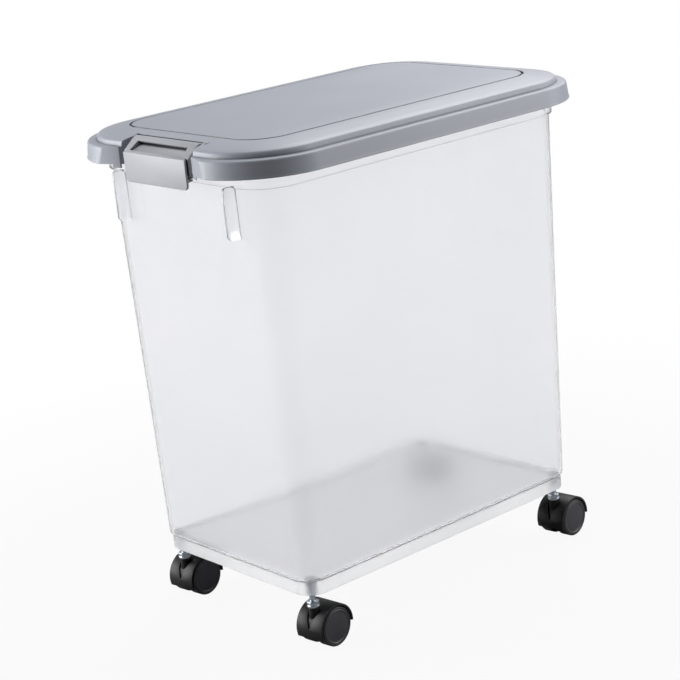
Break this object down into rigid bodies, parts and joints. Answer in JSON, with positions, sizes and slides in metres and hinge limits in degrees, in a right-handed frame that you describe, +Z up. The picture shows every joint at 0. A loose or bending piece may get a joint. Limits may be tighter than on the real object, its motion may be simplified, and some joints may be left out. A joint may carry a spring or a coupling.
{
  "type": "rolling food storage bin",
  "caption": "Tall translucent plastic rolling storage bin with a grey hinged lid, front buckle latch and twin-wheel swivel casters",
  "frame": {"origin": "On the floor under the middle of the bin (bottom centre of the whole object)", "axes": "+Z up; -Y is the latch side; +Y is the hinge side; +X is the side seen on the right in the picture"},
  "size_m": [0.3154, 0.4644, 0.511],
  "materials": {
    "bin_plastic": "translucent milky polypropylene, smooth satin moulded face",
    "lid_plastic": "light grey polypropylene, fine satin texture",
    "latch_plastic": "paler grey polypropylene, satin",
    "gasket_rubber": "soft white silicone",
    "black_plastic": "black nylon, satin",
    "wheel_plastic": "dark grey nylon tread",
    "cap_plastic": "dark grey nylon disc, semi gloss",
    "zinc": "bright zinc plated turned steel",
    "steel": "bright drawn steel pin"
  },
  "bodies": {
    "bin": {"bin_body": "bin_plastic", "grip_rings": "zinc", "stem_front_left": "zinc", "stem_front_right": "zinc", "stem_rear_left": "zinc", "stem_rear_right": "zinc"},
    "lid": {"lid": "lid_plastic", "lid_gasket": "gasket_rubber"},
    "latch": {"latch": "latch_plastic"},
    "caster_front_left": {"hood_front_left": "black_plastic", "axle_front_left": "steel"},
    "inner_wheel_front_left": {"inner_wheel_front_left": "wheel_plastic", "inner_cap_front_left": "cap_plastic"},
    "outer_wheel_front_left": {"outer_wheel_front_left": "wheel_plastic", "outer_cap_front_left": "cap_plastic"},
    "caster_front_right": {"hood_front_right": "black_plastic", "axle_front_right": "steel"},
    "inner_wheel_front_right": {"inner_wheel_front_right": "wheel_plastic", "inner_cap_front_right": "cap_plastic"},
    "outer_wheel_front_right": {"outer_wheel_front_right": "wheel_plastic", "outer_cap_front_right": "cap_plastic"},
    "caster_rear_left": {"hood_rear_left": "black_plastic", "axle_rear_left": "steel"},
    "inner_wheel_rear_left": {"inner_wheel_rear_left": "wheel_plastic", "inner_cap_rear_left": "cap_plastic"},
    "outer_wheel_rear_left": {"outer_wheel_rear_left": "wheel_plastic", "outer_cap_rear_left": "cap_plastic"},
    "caster_rear_right": {"hood_rear_right": "black_plastic", "axle_rear_right": "steel"},
    "inner_wheel_rear_right": {"inner_wheel_rear_right": "wheel_plastic", "inner_cap_rear_right": "cap_plastic"},
    "outer_wheel_rear_right": {"outer_wheel_rear_right": "wheel_plastic", "outer_cap_rear_right": "cap_plastic"}
  },
  "joints": [
    {"name": "lid_hinge", "type": "hinge", "parent": "bin", "child": "lid", "pos_m": [0, 0.21405, 0.486], "axis": [-1, 0, 0], "range_deg": [0, 105]},
    {"name": "latch_pivot", "type": "hinge", "parent": "lid", "child": "latch", "pos_m": [0, -0.205, 0.5035], "axis": [-1, 0, 0], "range_deg": [0, 95]},
    {"name": "caster_front_left_swivel", "type": "hinge", "parent": "bin", "child": "caster_front_left", "pos_m": [-0.1048, -0.1736, 0.044], "axis": [0, 0, 1], "continuous": true},
    {"name": "inner_wheel_front_left_spin", "type": "hinge", "parent": "caster_front_left", "child": "inner_wheel_front_left", "pos_m": [-0.09574, -0.15879, 0.02], "axis": [0.9925, 0.1219, 0], "continuous": true},
    {"name": "outer_wheel_front_left_spin", "type": "hinge", "parent": "caster_front_left", "child": "outer_wheel_front_left", "pos_m": [-0.11718, -0.16142, 0.02], "axis": [0.9925, 0.1219, 0], "continuous": true},
    {"name": "caster_front_right_swivel", "type": "hinge", "parent": "bin", "child": "caster_front_right", "pos_m": [0.1048, -0.1736, 0.044], "axis": [0, 0, 1], "continuous": true},
    {"name": "inner_wheel_front_right_spin", "type": "hinge", "parent": "caster_front_right", "child": "inner_wheel_front_right", "pos_m": [0.09242, -0.16142, 0.02], "axis": [0.9925, 0.1219, 0], "continuous": true},
    {"name": "outer_wheel_front_right_spin", "type": "hinge", "parent": "caster_front_right", "child": "outer_wheel_front_right", "pos_m": [0.11386, -0.15879, 0.02], "axis": [0.9925, 0.1219, 0], "continuous": true},
    {"name": "caster_rear_left_swivel", "type": "hinge", "parent": "bin", "child": "caster_rear_left", "pos_m": [-0.1048, 0.1736, 0.044], "axis": [0, 0, 1], "continuous": true},
    {"name": "inner_wheel_rear_left_spin", "type": "hinge", "parent": "caster_rear_left", "child": "inner_wheel_rear_left", "pos_m": [-0.09574, 0.18841, 0.02], "axis": [0.9925, 0.1219, 0], "continuous": true},
    {"name": "outer_wheel_rear_left_spin", "type": "hinge", "parent": "caster_rear_left", "child": "outer_wheel_rear_left", "pos_m": [-0.11718, 0.18578, 0.02], "axis": [0.9925, 0.1219, 0], "continuous": true},
    {"name": "caster_rear_right_swivel", "type": "hinge", "parent": "bin", "child": "caster_rear_right", "pos_m": [0.1048, 0.1736, 0.044], "axis": [0, 0, 1], "continuous": true},
    {"name": "inner_wheel_rear_right_spin", "type": "hinge", "parent": "caster_rear_right", "child": "inner_wheel_rear_right", "pos_m": [0.09242, 0.18578, 0.02], "axis": [0.9925, 0.1219, 0], "continuous": true},
    {"name": "outer_wheel_rear_right_spin", "type": "hinge", "parent": "caster_rear_right", "child": "outer_wheel_rear_right", "pos_m": [0.11386, 0.18841, 0.02], "axis": [0.9925, 0.1219, 0], "continuous": true}
  ]
}
